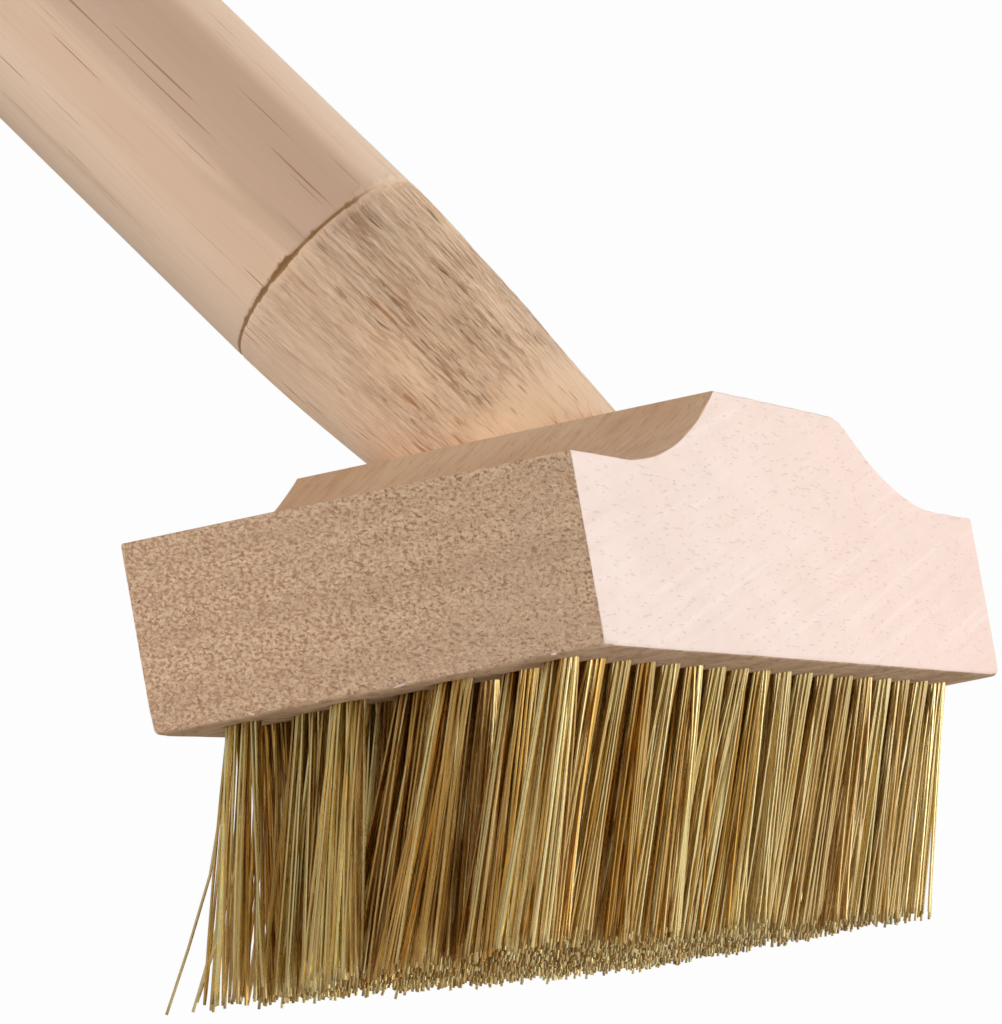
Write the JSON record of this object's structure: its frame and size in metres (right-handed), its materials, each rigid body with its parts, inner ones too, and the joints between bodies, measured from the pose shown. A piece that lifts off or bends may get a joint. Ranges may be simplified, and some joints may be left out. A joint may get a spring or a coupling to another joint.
{
  "type": "wire deck scrub",
  "caption": "Wire scrubbing brush: a hump-backed wooden block set with leaning tufts of straight brassed wire, on the tapered end of a long wooden stick that can be pulled out.",
  "frame": {"origin": "trimmed tip of the middle tuft, at the centre of the plane of the wire tips", "axes": "+Z from the wire tips up to the block and stick, +Y along the block, and the stick leans towards -X as it rises"},
  "size_m": [0.7318, 0.18, 1.0174],
  "materials": {
    "block_beech": "matte",
    "stick_pine": "matte",
    "brassed_wire": "satin",
    "anchor_steel": "satin"
  },
  "bodies": {
    "head": {"block": "block_beech", "roots_1": "brassed_wire", "roots_2": "brassed_wire", "roots_3": "brassed_wire", "roots_4": "brassed_wire", "roots_5": "brassed_wire", "roots_6": "brassed_wire", "roots_7": "brassed_wire", "anchors_1": "anchor_steel", "anchors_2": "anchor_steel", "anchors_3": "anchor_steel", "anchors_4": "anchor_steel", "anchors_5": "anchor_steel", "anchors_6": "anchor_steel", "anchors_7": "anchor_steel"},
    "stick": {"stick": "stick_pine"},
    "line_1": {"wires_1": "brassed_wire"},
    "line_2": {"wires_2": "brassed_wire"},
    "line_3": {"wires_3": "brassed_wire"},
    "line_4": {"wires_4": "brassed_wire"},
    "line_5": {"wires_5": "brassed_wire"},
    "line_6": {"wires_6": "brassed_wire"},
    "line_7": {"wires_7": "brassed_wire"}
  },
  "joints": [
    {"name": "stick_pull", "type": "slide", "parent": "head", "child": "stick", "axis": [-0.5878, 0, 0.809], "range_m": [0, 0.06]},
    {"name": "wire_bend_1", "type": "hinge", "parent": "head", "child": "line_1", "pos_m": [-0.01006, 0, 0.0285], "axis": [0, 1, 0], "range_deg": [-10, 10], "stiffness_Nm_per_rad": 1.2},
    {"name": "wire_bend_2", "type": "hinge", "parent": "head", "child": "line_2", "pos_m": [-0.00416, 0, 0.0285], "axis": [0, 1, 0], "range_deg": [-10, 10], "stiffness_Nm_per_rad": 1.2},
    {"name": "wire_bend_3", "type": "hinge", "parent": "head", "child": "line_3", "pos_m": [0.00174, 0, 0.0285], "axis": [0, 1, 0], "range_deg": [-10, 10], "stiffness_Nm_per_rad": 1.2},
    {"name": "wire_bend_4", "type": "hinge", "parent": "head", "child": "line_4", "pos_m": [0.00764, 0, 0.0285], "axis": [0, 1, 0], "range_deg": [-10, 10], "stiffness_Nm_per_rad": 1.2},
    {"name": "wire_bend_5", "type": "hinge", "parent": "head", "child": "line_5", "pos_m": [0.01354, 0, 0.0285], "axis": [0, 1, 0], "range_deg": [-10, 10], "stiffness_Nm_per_rad": 1.2},
    {"name": "wire_bend_6", "type": "hinge", "parent": "head", "child": "line_6", "pos_m": [0.01944, 0, 0.0285], "axis": [0, 1, 0], "range_deg": [-10, 10], "stiffness_Nm_per_rad": 1.2},
    {"name": "wire_bend_7", "type": "hinge", "parent": "head", "child": "line_7", "pos_m": [0.02534, 0, 0.0285], "axis": [0, 1, 0], "range_deg": [-10, 10], "stiffness_Nm_per_rad": 1.2}
  ],
  "couplings": [
    {"joint": "wire_bend_2", "follows": "wire_bend_1", "ratio": 1},
    {"joint": "wire_bend_3", "follows": "wire_bend_1", "ratio": 1},
    {"joint": "wire_bend_4", "follows": "wire_bend_1", "ratio": 1},
    {"joint": "wire_bend_5", "follows": "wire_bend_1", "ratio": 1},
    {"joint": "wire_bend_6", "follows": "wire_bend_1", "ratio": 1},
    {"joint": "wire_bend_7", "follows": "wire_bend_1", "ratio": 1}
  ]
}
